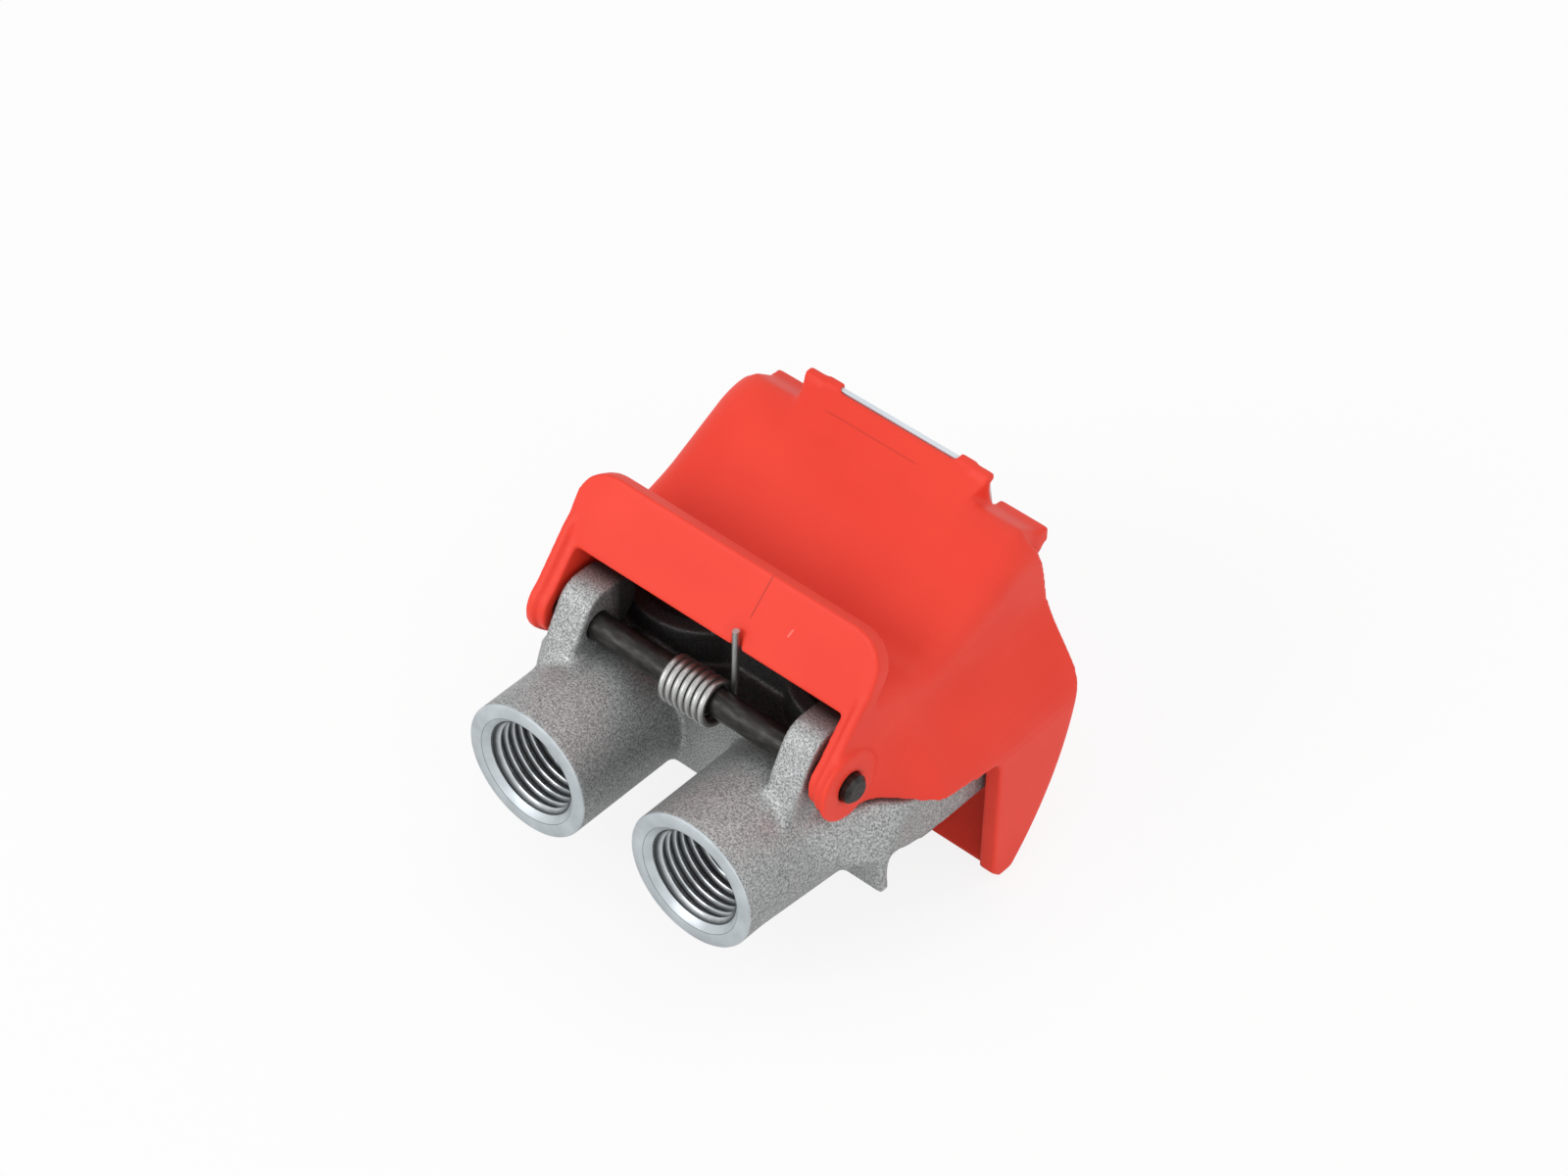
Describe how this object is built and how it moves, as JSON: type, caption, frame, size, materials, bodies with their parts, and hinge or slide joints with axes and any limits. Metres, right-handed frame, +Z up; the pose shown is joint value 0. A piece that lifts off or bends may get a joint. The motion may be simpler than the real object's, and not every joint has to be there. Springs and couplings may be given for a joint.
{
  "type": "air brake quick coupling",
  "caption": "Quick-coupling half for a vehicle's air brake lines: cast body with threaded ports, shut-off valves and a sprung hinged protective cover.",
  "frame": {"origin": "midway between the axes of the two ports, on the plane of the port faces", "axes": "+X along the hinge pin, to the picture's right; +Y from the port faces to the back of the head; +Z up, out of the mating face"},
  "size_m": [0.072, 0.0668, 0.057],
  "materials": {
    "cast_aluminium": "as cast, machined port faces",
    "black_steel": "blackened",
    "cover_plastic": "moulded, satin",
    "spring_steel": "bright drawn wire",
    "label_plastic": "blank, smooth",
    "brass": "turned",
    "rubber": "moulded",
    "ring_steel": "phosphated",
    "plunger_plastic": "moulded"
  },
  "bodies": {
    "base": {"body": "cast_aluminium", "hinge_pin": "black_steel", "torsion_spring": "spring_steel", "left_seat_bush": "brass", "right_seat_bush": "brass", "left_bush_seal": "rubber", "right_bush_seal": "rubber", "left_retaining_ring": "ring_steel", "right_retaining_ring": "ring_steel", "left_face_seal": "rubber", "right_face_seal": "rubber", "left_valve_spring": "spring_steel", "right_valve_spring": "spring_steel"},
    "hood": {"cover": "cover_plastic", "label_plate": "label_plastic"},
    "left_valve": {"left_valve_plunger": "plunger_plastic", "left_valve_washer": "rubber"},
    "right_valve": {"right_valve_plunger": "plunger_plastic", "right_valve_washer": "rubber"}
  },
  "joints": [
    {"name": "cover_hinge", "type": "hinge", "parent": "base", "child": "hood", "pos_m": [0, 0.0184, 0.0144], "axis": [1, 0, 0], "range_deg": [0, 85], "stiffness_Nm_per_rad": 0.05, "springref_deg": -68.75, "deforming": ["torsion_spring"]},
    {"name": "left_valve_press", "type": "slide", "parent": "base", "child": "left_valve", "axis": [0, 0, -1], "range_m": [0, 0.003], "stiffness_N_per_m": 100, "springref_m": -0.006, "deforming": ["left_valve_spring"]},
    {"name": "right_valve_press", "type": "slide", "parent": "base", "child": "right_valve", "axis": [0, 0, -1], "range_m": [0, 0.003], "stiffness_N_per_m": 100, "springref_m": -0.006, "deforming": ["right_valve_spring"]}
  ]
}
